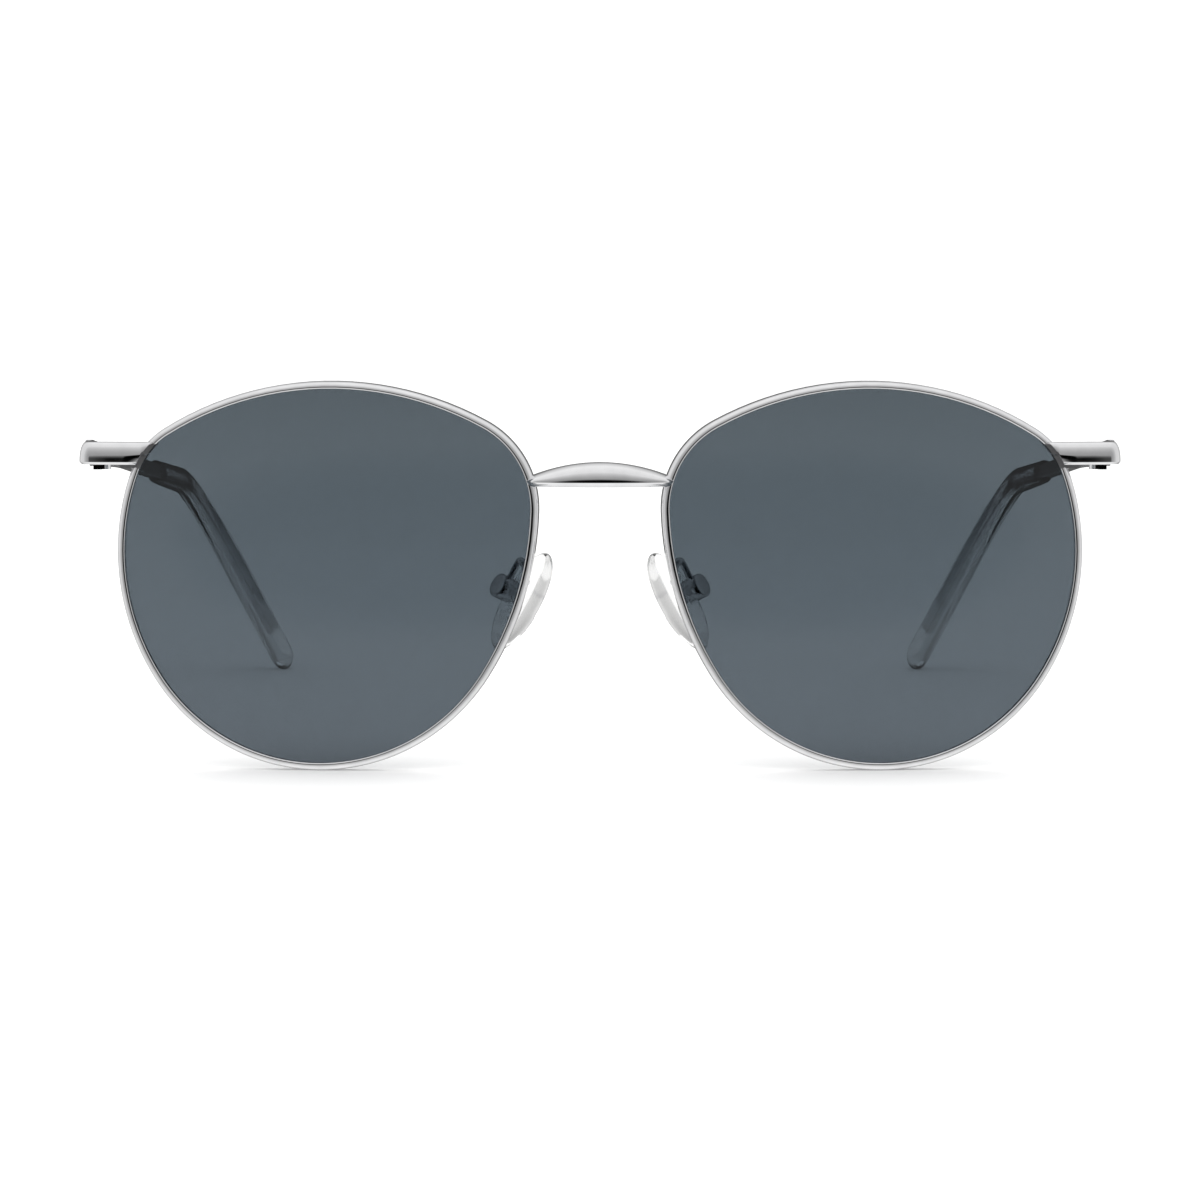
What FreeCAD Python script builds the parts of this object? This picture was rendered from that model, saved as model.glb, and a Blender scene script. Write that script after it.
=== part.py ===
"""Round metal sunglasses, standing open on their rims and temple ends.

Frame: +X to the wearer's left, +Y from the front back towards the ears, +Z up.
The floor is Z = 0, and the origin is under the middle of the glasses.
Left parts are modelled, and right parts are their mirror images in the plane X = 0.
"""
import FreeCAD
import Part
import math
import os

import Sketcher
from FreeCAD import Placement, Rotation, Vector

SIZES = [
    ("front_y", -71.27, "foremost plane of the front"),
    # Eyewire outline: tangent arcs, anticlockwise from its lowest point as the wearer's left lens is seen
    ("low_temporal_radius", 25.3, "arc from the lowest point outwards"),
    ("side_temporal_radius", 31.1, "arc up the temple side"),
    ("high_temporal_radius", 10.4, "upper corner on the temple side"),
    ("high_nasal_radius", 13.0, "upper corner on the nose side"),
    ("low_nasal_radius", 26.2, "arc back to the lowest point"),
    ("low_temporal_sweep", 57.7, "degrees"),
    ("side_temporal_sweep", 52.3, "degrees"),
    ("high_temporal_sweep", 38.4, "degrees"),
    ("top_sweep", 60.2, "degrees"),
    ("high_nasal_sweep", 63.0, "degrees"),
    ("side_nasal_sweep", 30.7, "degrees"),
    ("lowest_u", 1.5, "lowest point of the outline from the lens centre, outwards"),
    ("lowest_v", -25.5, "lowest point of the outline from the lens centre, upwards"),
    # Lens and eyewire
    ("lens_centre_x", 35.3, "lens centre from the middle"),
    ("lens_setback", 0.5, "lens centre behind the foremost plane"),
    ("wrap_angle", 4.0, "face form: each lens turned back at the temple, degrees"),
    ("base_radius", 132.0, "front surface of the lens"),
    ("lens_thick", 1.8, "lens thickness"),
    ("rim_width", 1.03, "eyewire, seen from the front"),
    ("rim_depth", 2.4, "eyewire, front to back"),
    ("rim_proud", 0.3, "eyewire in front of the lens"),
    ("bevel_reach", 0.45, "lens edge inside the eyewire's groove"),
    # Closing block and end piece
    ("closing_low", 39.2, "lower end of the closing block"),
    ("closing_high", 42.35, "upper end of the closing block"),
    ("closing_split", 40.9, "split between the two halves"),
    ("closing_gap", 0.1, "gap at the split"),
    ("closing_outer_x", 62.3, "outer face of the closing block"),
    ("closing_front", 5.2, "front face of the closing block, behind the foremost plane"),
    ("closing_back", 8.2, "rear face of the closing block, behind the foremost plane"),
    ("closing_screw_x", 61.2, "closing screw's axis"),
    ("closing_screw_back", 7.0, "closing screw's axis, behind the foremost plane"),
    ("closing_screw_radius", 0.5, "closing screw's shank"),
    ("bar_low", 39.65, "underside of the end piece"),
    ("bar_height", 2.95, "height of the end piece"),
    ("bar_thick", 1.3, "front bar of the end piece"),
    ("wall_thick", 1.2, "side wall of the end piece and front of the temple"),
    ("wall_outer_x", 67.7, "outer face of the side wall"),
    ("bar_crown", 1.05, "rounding of the bar's upper front edge"),
    ("bar_overlap", 0.45, "eyewire width left showing beside the bar"),
    # Hinge
    ("hinge_x", 65.42, "hinge axis"),
    ("hinge_back", 13.0, "hinge axis behind the foremost plane"),
    ("hinge_low", 38.75, "underside of the lowest knuckle"),
    ("knuckle_radius", 1.03, "hinge knuckle"),
    ("knuckle_height", 1.0, "hinge knuckle"),
    ("knuckle_gap", 0.05, "gap between knuckles"),
    ("leaf_thick", 0.7, "hinge leaf"),
    ("leaf_length", 4.6, "hinge leaf, from its knuckle"),
    ("joint_back", 12.2, "end piece's rear face behind the foremost plane"),
    ("joint_gap", 0.03, "gap where the open temple stops"),
    ("hinge_screw_radius", 0.6, "hinge screw's shank"),
    ("hinge_running_gap", 0.03, "radial clearance in the temple's knuckle"),
    # Temple
    ("temple_length", 150.07, "temple, from its front end to its tip along the bend"),
    ("temple_straight", 101.6, "straight length before the bend"),
    ("temple_decline", 4.97, "fall of the straight length, degrees"),
    ("bend_radius", 25.2, "bend behind the ear"),
    ("bend_angle", 67.1, "bend behind the ear, degrees"),
    ("bend_lean", 26.2, "inward lean of the bend's plane, degrees"),
    ("tip_cover_start", 67.0, "where the clear end cover begins"),
    ("core_end", 143.0, "where the metal core ends inside the cover"),
    ("core_inset", 0.45, "core nearer the head than the cover's middle"),
    ("wire_wide", 1.6, "temple wire, sideways"),
    ("wire_high", 2.2, "temple wire, upright"),
    ("core_wide", 1.2, "core inside the cover, sideways"),
    ("core_high", 1.8, "core inside the cover, upright"),
    ("cover_wide", 2.6, "cover near its front end, sideways"),
    ("cover_high", 3.5, "cover near its front end, upright"),
    ("cover_wider", 0.8, "how much wider the cover grows"),
    ("cover_higher", 1.5, "how much higher the cover grows"),
    # Nose pads
    ("pad_box_x", 12.3, "pad box centre"),
    ("pad_box_back", 6.3, "pad box centre behind the foremost plane"),
    ("pad_box_z", 23.43, "pad box centre"),
    ("pad_tilt", 29.5, "pad's long axis from the vertical, degrees"),
    ("pad_splay", 30.0, "pad's face turned back, degrees"),
    ("pad_box_radius", 1.6, "outside of the cup"),
    ("pad_box_bore", 1.1, "inside of the cup"),
    ("pad_long", 7.1, "half the pad's length"),
    ("pad_wide", 4.0, "half the pad's width"),
    ("pad_dome", 1.5, "half the thickness of the pad's ellipsoid"),
    ("pad_centre", 3.1, "pad's ellipsoid from the box centre"),
    ("pad_drop", 0.5, "pad's ellipsoid below the box centre along the pad"),
    ("pad_back", 2.0, "pad's flat back from the box centre"),
    ("pad_screw_radius", 0.45, "pad screw's shank"),
    ("pad_running_gap", 0.04, "radial clearance in the insert's eye"),
    ("pad_cup_height", 2.5, "cup, from its floor's underside to its rim"),
    ("insert_eye_radius", 0.85, "eye of the pad's metal insert"),
    ("insert_width", 0.9, "eye and neck of the insert, along the screw"),
    ("insert_plate_radius", 1.35, "insert's plate inside the pad"),
    ("insert_plate_thick", 0.4, "insert's plate inside the pad"),
    ("pad_arm_radius", 0.45, "pad arm's wire"),
    # Bridge
    ("bridge_half", 9.45, "half the bridge's length"),
    ("bridge_low", 36.96, "underside of the bridge"),
    ("bridge_ridge", 0.65, "height of the lower bevel"),
    ("bridge_high", 40.18, "top of the bridge in the middle"),
    ("bridge_end_high", 38.16, "top of the bridge at its ends"),
    ("bridge_bow", 1.9, "how far the middle stands in front of the ends"),
    ("bridge_end_back", 0.7, "front of the bridge's ends behind the foremost plane"),
    ("bridge_thick", 2.0, "bridge, front to back in the middle"),
]
ARCS = ["low_temporal", "side_temporal", "high_temporal", "top", "high_nasal", "side_nasal", "low_nasal"]
CLOSING_ARCS = (3, 5)  # the two arcs whose radii follow from closing the outline
REACH = 12.0  # how far tools reach past what they cut
RIM_ROUNDING = 0.25
BAR_SLOPE = 8.0  # degrees the front bar falls back towards the corner
BAR_STANDOFF = 0.35  # bar behind the front of the closing block where they meet
BAR_REFERENCE_X = 60.0
CORNER_RADIUS = 1.7
SLOT_WIDTH = 0.22
SLOT_DEPTH = 0.25
BAR_BEVEL = 0.35
KNUCKLE_WEB = 1.0
TEMPLE_INSET = 1.6  # temple's wire centre inside the side wall's outer face
TEMPLE_START_Z = 41.11
FLAT_END = 8  # temple's distance along itself where the flat bar starts to thin
WIRE_START = 30  # and where it has become a wire
FLAT_CORNER = 0.3
WIRE_CORNER = 0.75
CORE_STEP = 4  # length over which the wire narrows to the core, and spacing of sections
COVER_ROUNDING = 2.5  # rounded length at the cover's far end
LEAF_DIP = 0.25  # leaf below the wall's lower edge
LEAF_DROP = 0.65  # leaf below the wall's upper edge
CUP_FLOOR = -1.0
CUP_FLOOR_THICK = 0.5
PAD_ARM_POINTS = [(9.5, 3.0, 24.5), (9.7, 4.4, 26.1), (10.4, 5.6, 27.3)]  # from the foremost plane
BRIDGE_END_ROUNDING = 0.9
BRIDGE_BEVEL = 0.4
BRIDGE_SPARE = 0.05

doc = FreeCAD.newDocument("round_sunglasses")
dims = doc.addObject("Spreadsheet::Sheet", "dims")
for row, (alias, value, note) in enumerate(SIZES, start=1):
    dims.set(f"A{row}", note)
    dims.set(f"B{row}", str(value))
    dims.setAlias(f"B{row}", alias)
doc.recompute()
finished = []


def size(alias):
    """Value of a cell of the sheet."""
    return float(getattr(dims, alias))


def back(alias):
    """Y of a distance behind the foremost plane."""
    return size("front_y") + size(alias)


def bind(thing, **expressions):
    """Binds properties of an object to expressions on the sheet's cells."""
    for prop, expression in expressions.items():
        thing.setExpression(prop, expression)
    return thing


def place(thing, base=Vector(), rotation=Rotation()):
    """Puts an object at its place."""
    thing.Placement = Placement(base, rotation)
    return thing


def box(name, low, high):
    """A block between two corners."""
    made = doc.addObject("Part::Box", name)
    made.Length, made.Width, made.Height = high.x - low.x, high.y - low.y, high.z - low.z
    return place(made, low)


def cylinder(name, radius, height, base, rotation=Rotation()):
    """A cylinder whose radius and height are expressions on the sheet."""
    made = bind(doc.addObject("Part::Cylinder", name), Radius=radius, Height=height)
    return place(made, base, rotation)


def cut(name, base, tool):
    """The base with the tool's space taken out of it."""
    made = doc.addObject("Part::Cut", name)
    made.Base, made.Tool = base, tool
    return made


def common(name, base, tool):
    """What the base and the tool share."""
    made = doc.addObject("Part::Common", name)
    made.Base, made.Tool = base, tool
    return made


def fuse(name, *shapes):
    """Several shapes as one solid."""
    made = doc.addObject("Part::MultiFuse", name)
    made.Shapes = list(shapes)
    made.Refine = True
    return made


def mirror(thing, name):
    """The mirror image in the plane X = 0."""
    made = doc.addObject("Part::Mirroring", name)
    made.Source = thing
    made.Normal = Vector(1, 0, 0)
    return made


def finish_pair(thing, node):
    """Names a left part, and makes the right one as its mirror image."""
    thing.Label = node + "_left"
    mirrored = mirror(thing, "mirrored_" + node)
    mirrored.Label = node + "_right"
    finished.extend([thing, mirrored])
    return thing


def finish_single(thing, node):
    """Names a part that lies across the middle."""
    thing.Label = node
    finished.append(thing)
    return thing


# ---------------------------------------------------------------- lens frame

def lens_rotation():
    """Turns sketch X outwards along the lens, sketch Y up and sketch Z to the front."""
    wrap = Rotation(Vector(0, 0, 1), size("wrap_angle"))
    return wrap.multiply(Rotation(Vector(1, 0, 0), 90))


def lens_vertex():
    """Foremost point of the lens, as high as lets the eyewire's lowest point touch the floor."""
    return Vector(size("lens_centre_x"), back("lens_setback"), -size("lowest_v"))


def outline_arcs():
    """Centre, radius, start and end angle of each arc of the eyewire's outline."""
    sweeps = [math.radians(size(arc + "_sweep")) for arc in ARCS[:-1]]
    sweeps.append(2 * math.pi - sum(sweeps))
    headings = [0.0]
    for sweep in sweeps:
        headings.append(headings[-1] + sweep)
    normals = [Vector(-math.sin(h), math.cos(h), 0) for h in headings]
    moves = [normals[i] - normals[i + 1] for i in range(len(ARCS))]
    radii = [0.0 if i in CLOSING_ARCS else size(arc + "_radius") for i, arc in enumerate(ARCS)]
    gap = Vector()
    for radius, move in zip(radii, moves):
        gap = gap + move * radius
    first, second = (moves[i] for i in CLOSING_ARCS)
    determinant = first.x * second.y - second.x * first.y
    radii[CLOSING_ARCS[0]] = (second.x * gap.y - second.y * gap.x) / determinant
    radii[CLOSING_ARCS[1]] = (first.y * gap.x - first.x * gap.y) / determinant
    point = Vector(size("lowest_u"), size("lowest_v"), 0)
    arcs = []
    for i, radius in enumerate(radii):
        centre = point + normals[i] * radius
        start, end = headings[i] - math.pi / 2, headings[i + 1] - math.pi / 2
        arcs.append((centre, radius, start, end))
        point = centre - normals[i + 1] * radius
    return arcs


def make_outline():
    """Sketch of the eyewire's outer outline: seven tangent arcs, in the lens's frame."""
    sketch = doc.addObject("Sketcher::SketchObject", "eyewire_outline")
    arcs = outline_arcs()
    for centre, radius, start, end in arcs:
        circle = Part.Circle(centre, Vector(0, 0, 1), radius)
        sketch.addGeometry(Part.ArcOfCircle(circle, start, end), False)
    for i in range(len(arcs)):
        sketch.addConstraint(Sketcher.Constraint("Tangent", i, 2, (i + 1) % len(arcs), 1))
    sketch.addConstraint(Sketcher.Constraint("Vertical", 0, 1, 0, 3))
    for axis, alias in (("DistanceX", "lowest_u"), ("DistanceY", "lowest_v")):
        index = sketch.addConstraint(Sketcher.Constraint(axis, -1, 1, 0, 1, size(alias)))
        sketch.setExpression(f"Constraints[{index}]", f"dims.{alias}")
    for i, arc in enumerate(ARCS):
        if i not in CLOSING_ARCS:
            index = sketch.addConstraint(Sketcher.Constraint("Radius", i, size(arc + "_radius")))
            sketch.setExpression(f"Constraints[{index}]", f"dims.{arc}_radius")
    for i, arc in enumerate(ARCS[:-1]):
        sweep = math.radians(size(arc + "_sweep"))
        index = sketch.addConstraint(Sketcher.Constraint("Angle", i, sweep))
        sketch.setExpression(f"Constraints[{index}]", f"dims.{arc}_sweep")
    place(sketch, lens_vertex(), lens_rotation())
    doc.recompute()
    return sketch


def make_prism(outline, name, offset):
    """The outline moved in or out by an expression, extruded through the lens to both sides."""
    profile = outline
    if offset:
        profile = doc.addObject("Part::Offset2D", name + "_outline")
        profile.Source = outline
        bind(profile, Value=offset)
    prism = doc.addObject("Part::Extrusion", name)
    prism.Base = profile
    prism.DirMode = "Normal"
    prism.Solid = True
    prism.LengthFwd, prism.LengthRev = REACH, REACH
    return prism


def make_shell(name, front, rear):
    """Space between two spheres about the lens's centre of curvature; radii are expressions."""
    normal = lens_rotation().multVec(Vector(0, 0, 1))
    centre = lens_vertex() - normal * size("base_radius")
    seam_behind = Rotation(Vector(0, 0, 1), 90 + size("wrap_angle"))
    balls = []
    for suffix, radius in (("_front", front), ("_rear", rear)):
        ball = bind(doc.addObject("Part::Sphere", name + suffix), Radius=radius)
        balls.append(place(ball, centre, seam_behind))
    return cut(name, *balls)


# ---------------------------------------------------------------- eyewire, lens and closing block

def make_lens_front(bar):
    """Lens, eyewire, and the two halves of the closing block behind the end piece's bar."""
    outline = doc.getObject("eyewire_outline")
    outer = make_prism(outline, "eyewire_outside", None)
    opening = make_prism(outline, "eyewire_opening", "-dims.rim_width")
    edge = make_prism(outline, "lens_edge", "dims.bevel_reach - dims.rim_width")
    ring = cut("eyewire_band", outer, opening)
    rim_shell = make_shell("eyewire_space", "dims.base_radius + dims.rim_proud",
                           "dims.base_radius + dims.rim_proud - dims.rim_depth")
    lens_shell = make_shell("lens_space", "dims.base_radius", "dims.base_radius - dims.lens_thick")
    blank = common("lens_blank", edge, lens_shell)
    lens = doc.addObject("Part::Chamfer", "lens")
    lens.Base = blank
    wire = doc.addObject("Part::Fillet", "eyewire_wire")
    wire.Base = common("eyewire_ring", ring, rim_shell)
    doc.recompute()
    bevel = size("lens_thick") / 3
    lens.Edges = [(index, bevel, bevel) for index in curved_edges(blank)]
    wire.Edges = [(index, RIM_ROUNDING, RIM_ROUNDING) for index in curved_edges(wire.Base)]
    finish_pair(lens, "lens")
    low, high = size("closing_low"), size("closing_high")
    middle = Vector(size("lens_centre_x") + REACH, size("front_y") - REACH, low)
    zone = box("closing_zone", middle, Vector(middle.x + 4 * REACH, size("front_y") + 2 * REACH, high))
    grooved = cut("grooved_wire", wire, lens)
    finish_pair(cut("rim", grooved, zone), "rim")
    make_closing_block(opening, lens, bar)
    return wire, lens


def curved_edges(thing):
    """Indices of the edges that run along a ring's faces, not across them."""
    low, high = thing.Shape.BoundBox.YMin, thing.Shape.BoundBox.YMax
    return [index for index, edge in enumerate(thing.Shape.Edges, start=1)
            if not isinstance(edge.Curve, Part.Line) and edge.BoundBox.YLength < high - low]


def make_closing_block(opening, lens, bar):
    """Two halves brazed to the eyewire's ends, and the screw that draws them together."""
    low, high = size("closing_low"), size("closing_high")
    front, rear = back("closing_front"), back("closing_back")
    start = size("lens_centre_x") + REACH
    block = box("closing_bar", Vector(start, front, low), Vector(size("closing_outer_x"), rear, high))
    shaped = cut("closing_inside", block, opening)
    grooved = cut("closing_grooved", shaped, lens)
    coped = cut("closing_coped", grooved, bar)
    screw = make_screw("closing_screw", "dims.closing_screw_radius", high - low,
                       Vector(size("closing_screw_x"), back("closing_screw_back"), low), Rotation())
    bored = cut("closing_bored", coped, screw)
    split, gap = size("closing_split"), size("closing_gap")
    corner = Vector(start - 1, front - REACH, low - 1)
    far = Vector(start + 3 * REACH, rear + REACH, high + 1)
    below = box("closing_below", corner, Vector(far.x, far.y, split - gap / 2))
    above = box("closing_above", Vector(corner.x, corner.y, split + gap / 2), far)
    finish_pair(common("closing_lower", bored, below), "closing_block_lower")
    finish_pair(common("closing_upper", bored, above), "closing_block_upper")
    finish_pair(screw, "closing_screw")


def make_screw(name, radius, length, base, rotation, head=1.6, head_height=0.5):
    """Slotted cheese-head screw: its axis from the base along the rotated Z, head at the far end."""
    axis = rotation.multVec(Vector(0, 0, 1))
    shank = cylinder(name + "_shank", radius, f"{length - head_height}", base, rotation)
    top = base + axis * (length - head_height)
    crown = cylinder(name + "_head", f"{head} * {radius}", f"{head_height}", top, rotation)
    body = fuse(name + "_body", shank, crown)
    slot = doc.addObject("Part::Box", name + "_slot")
    slot.Length, slot.Width, slot.Height = 2 * REACH, SLOT_WIDTH, REACH
    offset = rotation.multVec(Vector(-REACH, -SLOT_WIDTH / 2, length - SLOT_DEPTH))
    place(slot, base + offset, rotation)
    return cut(name, body, slot)


# ---------------------------------------------------------------- end piece

def make_end_piece():
    """Front bar swept round the corner into the side wall, as one bent bar."""
    thick, wall = size("bar_thick"), size("wall_thick")
    outer, rear = size("wall_outer_x"), back("joint_back")
    slope = math.tan(math.radians(BAR_SLOPE))
    start = size("lens_centre_x") + 1.8 * REACH
    front = back("closing_front") + BAR_STANDOFF - thick
    corner = Vector(outer, front + slope * (outer - BAR_REFERENCE_X), 0)
    inner = Vector(outer - wall, corner.y + thick - slope * wall, 0)
    points = [Vector(start, corner.y - slope * (outer - start), 0), corner, Vector(outer, rear, 0),
              Vector(outer - wall, rear, 0), inner,
              Vector(start, inner.y - slope * (inner.x - start), 0)]
    bar = doc.addObject("Part::Extrusion", "end_piece_bar")
    bar.Base = make_polygon("end_piece_plan", points)
    bar.DirMode = "Custom"
    bar.Dir = Vector(0, 0, 1)
    bar.Solid = True
    bind(bar, LengthFwd="dims.bar_height")
    rounded = doc.addObject("Part::Fillet", "end_piece_bent")
    rounded.Base = bar
    doc.recompute()
    middle = Vector(0, 0, size("bar_low") + size("bar_height") / 2)
    bends = [(corner, CORNER_RADIUS), (inner, CORNER_RADIUS - wall * 0.9)]
    rounded.Edges = [(find_edge(bar, point + middle), radius, radius) for point, radius in bends]
    return rounded


def make_polygon(name, points):
    """Closed sketch polygon at the underside of the end piece."""
    sketch = doc.addObject("Sketcher::SketchObject", name)
    for first, second in zip(points, points[1:] + points[:1]):
        sketch.addGeometry(Part.LineSegment(first, second), False)
    count = len(points)
    for i in range(count):
        sketch.addConstraint(Sketcher.Constraint("Coincident", i, 2, (i + 1) % count, 1))
    return place(sketch, Vector(0, 0, size("bar_low")))


def find_edge(thing, point):
    """Index of the edge that passes nearest to a point."""
    vertex = Part.Vertex(point)
    distances = [edge.distToShape(vertex)[0] for edge in thing.Shape.Edges]
    return distances.index(min(distances)) + 1


def dress_bar(bar):
    """Rounds the bar's upper outer edge, bevels the lower one, and trims it along the eyewire."""
    top = size("bar_low") + size("bar_height")
    crowned = doc.addObject("Part::Fillet", "end_piece_crowned")
    crowned.Base = bar
    crown = size("bar_crown")
    crowned.Edges = [(find_edge(bar, point), crown, crown) for point in outer_points(bar, top)]
    doc.recompute()
    bevelled = doc.addObject("Part::Chamfer", "end_piece_bevelled")
    bevelled.Base = crowned
    bevelled.Edges = [(find_edge(crowned, point), BAR_BEVEL, BAR_BEVEL)
                      for point in outer_points(bar, size("bar_low"))]
    trim = make_prism(doc.getObject("eyewire_outline"), "end_piece_trim", "-dims.bar_overlap")
    trimmed = cut("end_piece", bevelled, trim)
    return finish_pair(trimmed, "end_piece")


def outer_points(bar, height):
    """A point on each of the bar's three outer edges at a height: front, corner and side."""
    outer, rear = size("wall_outer_x"), back("joint_back")
    front = [edge for edge in bar.Shape.Edges
             if abs(edge.CenterOfMass.z - height) < 0.01 and edge.BoundBox.ZLength < 0.01]
    front.sort(key=lambda edge: edge.CenterOfMass.y - edge.CenterOfMass.x * 0.1)
    middle = front[0].CenterOfMass
    corner = Vector(outer - 0.3 * CORNER_RADIUS, middle.y + 0.3 * CORNER_RADIUS + 0.7, height)
    return [middle, corner, Vector(outer, rear - 1, height)]


# ---------------------------------------------------------------- hinge

def knuckle(name, level, radius, spare=0.0):
    """A cylinder on the hinge axis at one of the three knuckles' levels."""
    pitch = size("knuckle_height") + size("knuckle_gap")
    base = hinge_point(level * pitch - spare)
    height = f"dims.knuckle_height + {2 * spare}"
    return cylinder(name, radius, height, base)


def hinge_point(height):
    """A point on the hinge axis, from the lowest knuckle's underside."""
    return Vector(size("hinge_x"), back("hinge_back"), size("hinge_low") + height)


def make_leaf(name, near, far, low, high):
    """A leaf against the wall's inner face, from one y to another."""
    inner_face = size("wall_outer_x") - size("wall_thick")
    return box(name, Vector(inner_face - size("leaf_thick"), near, low), Vector(inner_face, far, high))


def make_web(name, level, near, far):
    """Joins a knuckle to its leaf."""
    low = hinge_point(level * (size("knuckle_height") + size("knuckle_gap"))).z
    inner_face = size("wall_outer_x") - size("wall_thick")
    high = low + size("knuckle_height")
    return box(name, Vector(size("hinge_x"), near, low), Vector(inner_face, far, high))


def make_hinge():
    """Two knuckles on the front, one on the temple, and the screw through all three."""
    axis_y, stop = back("hinge_back"), back("joint_back")
    clear = "dims.knuckle_radius + dims.knuckle_gap"
    gap = size("knuckle_gap")
    height = 3 * size("knuckle_height") + 2 * gap
    screw = make_screw("hinge_screw", "dims.hinge_screw_radius", height, hinge_point(0), Rotation(),
                       head=1.35, head_height=0.4)
    leaf_low = size("bar_low") - LEAF_DIP
    leaf_high = size("bar_low") + size("bar_height") - LEAF_DROP
    front = fuse("hinge_front_body",
                 make_leaf("front_leaf", stop - size("leaf_length"), stop, leaf_low, leaf_high),
                 knuckle("front_knuckle_low", 0, "dims.knuckle_radius"),
                 knuckle("front_knuckle_high", 2, "dims.knuckle_radius"),
                 make_web("front_web_low", 0, stop - KNUCKLE_WEB, stop),
                 make_web("front_web_high", 2, stop - KNUCKLE_WEB, stop))
    relieved = cut("hinge_front_relieved", front, knuckle("front_relief", 1, clear, gap))
    finish_pair(cut("hinge_front", relieved, screw), "hinge_front")
    start = stop + size("joint_gap")
    temple = fuse("hinge_temple_body",
                  make_leaf("temple_leaf", start, stop + size("leaf_length"), leaf_low, leaf_high),
                  knuckle("temple_knuckle", 1, "dims.knuckle_radius"),
                  make_web("temple_web", 1, axis_y, axis_y + KNUCKLE_WEB))
    bore = knuckle("temple_bore", 1, "dims.hinge_screw_radius + dims.hinge_running_gap", gap)
    tools = fuse("temple_reliefs", bore, knuckle("temple_relief_low", 0, clear, gap),
                 knuckle("temple_relief_high", 2, clear, gap))
    finish_pair(cut("hinge_temple", temple, tools), "hinge_temple")
    finish_pair(screw, "hinge_screw")


# ---------------------------------------------------------------- temple

def temple_path():
    """Start, straight direction, bend's turning direction and the bend's axis of the left temple."""
    decline, lean = math.radians(size("temple_decline")), math.radians(size("bend_lean"))
    start = Vector(size("wall_outer_x") - TEMPLE_INSET, back("hinge_back"), TEMPLE_START_Z)
    along = Vector(0, math.cos(decline), -math.sin(decline))
    down = Vector(0, -math.sin(decline), -math.cos(decline))
    turn = down * math.cos(lean) - Vector(1, 0, 0) * math.sin(lean)
    return start, along, turn, along.cross(turn)


def station(s):
    """Point, direction and sideways axis of the temple at a distance along it."""
    start, along, turn, axis = temple_path()
    straight, radius = size("temple_straight"), size("bend_radius")
    if s <= straight:
        return start + along * s, along, Vector(1, 0, 0)
    full = math.radians(size("bend_angle"))
    angle = min((s - straight) / radius, full)
    centre = start + along * straight + turn * radius
    point = centre - turn * (radius * math.cos(angle)) + along * (radius * math.sin(angle))
    bend = Rotation(axis, math.degrees(angle))
    direction = bend.multVec(along)
    rest = max(0.0, s - straight - full * radius)
    return point + direction * rest, direction, bend.multVec(Vector(1, 0, 0))


def section_frame(s, sideways=0.0):
    """Placement at a station with X up the section, Y sideways and Z along the temple."""
    point, along, side = station(s)
    up = side.cross(along)
    return Placement(point + side * sideways, Rotation(up, side, along, "ZXY"))


def oval(s, width, height, sideways=0.0):
    """Elliptical section of the temple at a station."""
    ellipse = Part.Ellipse(Vector(), height / 2, width / 2)
    wire = Part.Wire(ellipse.toShape())
    wire.Placement = section_frame(s, sideways)
    return wire


def rounded_bar(s, width, height, corner, sideways=0.0):
    """Rectangular section with rounded corners at a station."""
    flat = Part.makePlane(height, width, Vector(-height / 2, -width / 2, 0))
    wire = flat.OuterWire
    rounded = Part.Wire(round_corners(wire, corner))
    rounded.Placement = section_frame(s, sideways)
    return rounded


def round_corners(wire, corner):
    """Edges of a rectangle about the origin, with arcs at its corners."""
    high, wide = wire.BoundBox.XMax, wire.BoundBox.YMax
    quarters = [(1, 1, 0), (-1, 1, 90), (-1, -1, 180), (1, -1, 270)]
    arcs = []
    for x, y, start in quarters:
        centre = Vector(x * (high - corner), y * (wide - corner), 0)
        circle = Part.Circle(centre, Vector(0, 0, 1), corner)
        arcs.append(circle.toShape(math.radians(start), math.radians(start + 90)))
    edges = []
    for arc, following in zip(arcs, arcs[1:] + arcs[:1]):
        edges.append(arc)
        edges.append(Part.makeLine(arc.Vertexes[-1].Point, following.Vertexes[0].Point))
    return edges


def hold(name, shape):
    """Keeps a computed shape as an object."""
    made = doc.addObject("Part::Feature", name)
    made.Shape = shape
    return made


def bend_stations(start, end, step):
    """Evenly spread distances from start to end, about a step apart."""
    count = max(1, round((end - start) / step))
    return [start + (end - start) * i / count for i in range(count + 1)]


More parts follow.
